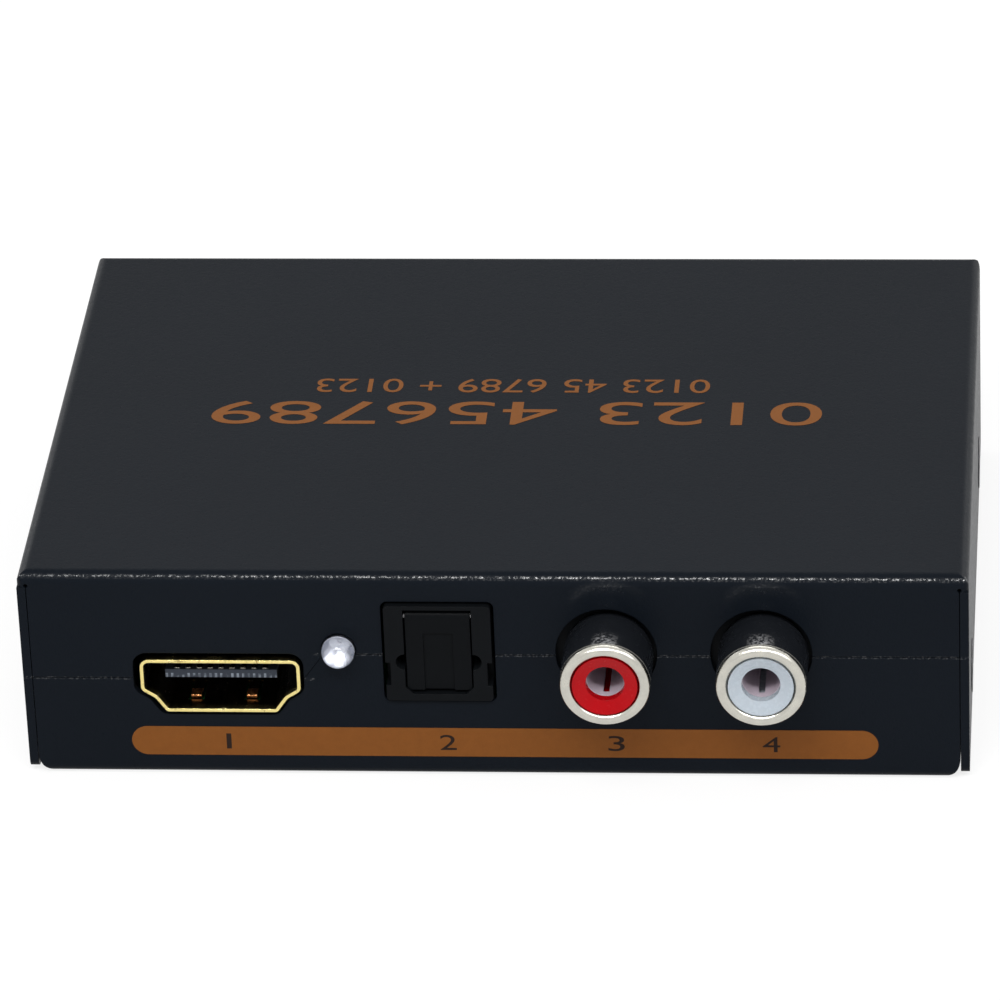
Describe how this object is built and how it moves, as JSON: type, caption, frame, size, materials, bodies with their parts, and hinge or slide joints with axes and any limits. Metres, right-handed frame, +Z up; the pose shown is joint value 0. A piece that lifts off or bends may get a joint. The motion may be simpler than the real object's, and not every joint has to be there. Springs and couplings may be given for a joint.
{
  "type": "hdmi audio extractor",
  "caption": "Flat black steel box that splits sound from a video line, with video, optical and twin phono sockets in front.",
  "frame": {"origin": "middle of the tray's floor, on its lower face", "axes": "+X to the right along the front with the sound sockets, +Y from the front to the rear, +Z up"},
  "size_m": [0.0862, 0.0704, 0.0212],
  "materials": {
    "painted_steel": "satin black powder coat on sheet steel",
    "screw_steel": "plated steel",
    "gold_plate": "bright gold plate",
    "tongue_plastic": "moulded, blue-grey",
    "nickel_plate": "bright nickel plate",
    "clear_lens": "clear epoxy dome",
    "black_plastic": "moulded, satin",
    "shutter_plastic": "moulded, satin",
    "emitter_plastic": "dark red moulded epoxy",
    "red_plastic": "moulded, red",
    "white_plastic": "moulded, white",
    "board_laminate": "green solder mask on glass laminate",
    "brown_phenolic": "phenolic board",
    "chip_epoxy": "moulded epoxy",
    "can_aluminium": "drawn can",
    "ferrite": "dark ferrite",
    "chip_ceramic": "ceramic with tinned ends"
  },
  "bodies": {
    "case": {"top_cover": "painted_steel", "bottom_tray": "painted_steel", "side_screws": "screw_steel", "board_standoffs": "screw_steel", "board_screws": "screw_steel", "main_board": "board_laminate", "video_out_shell": "gold_plate", "video_out_tongue": "tongue_plastic", "video_out_contacts": "nickel_plate", "video_in_shell": "gold_plate", "video_in_tongue": "tongue_plastic", "video_in_contacts": "nickel_plate", "status_light": "clear_lens", "status_light_leads": "nickel_plate", "optical_housing": "black_plastic", "shutter_pin": "screw_steel", "shutter_spring": "screw_steel", "optical_emitter": "emitter_plastic", "phono_block": "black_plastic", "left_phono_shell": "nickel_plate", "right_phono_shell": "nickel_plate", "left_phono_insert": "red_plastic", "right_phono_insert": "white_plastic", "left_phono_contact": "nickel_plate", "right_phono_contact": "nickel_plate", "power_socket_body": "black_plastic", "power_socket_pin": "nickel_plate", "power_socket_spring": "nickel_plate", "switch_frame": "nickel_plate", "switch_base": "brown_phenolic", "switch_terminals": "nickel_plate", "processor_chip": "chip_epoxy", "audio_chip": "chip_epoxy", "memory_chip": "chip_epoxy", "clock_crystal": "nickel_plate", "filter_capacitors": "can_aluminium", "power_inductor": "ferrite", "voltage_regulator": "chip_epoxy", "chip_parts": "chip_ceramic"},
    "shutter": {"optical_shutter": "shutter_plastic"},
    "mode_slider": {"switch_slider": "black_plastic"}
  },
  "joints": [
    {"name": "shutter_swing", "type": "hinge", "parent": "case", "child": "shutter", "pos_m": [-0.0049, -0.0304, 0.01675], "axis": [1, 0, 0], "range_deg": [0, 85], "stiffness_Nm_per_rad": 0.0001, "springref_deg": -20.05},
    {"name": "mode_slide", "type": "slide", "parent": "case", "child": "mode_slider", "axis": [1, 0, 0], "range_m": [-0.002, 0.002]}
  ]
}
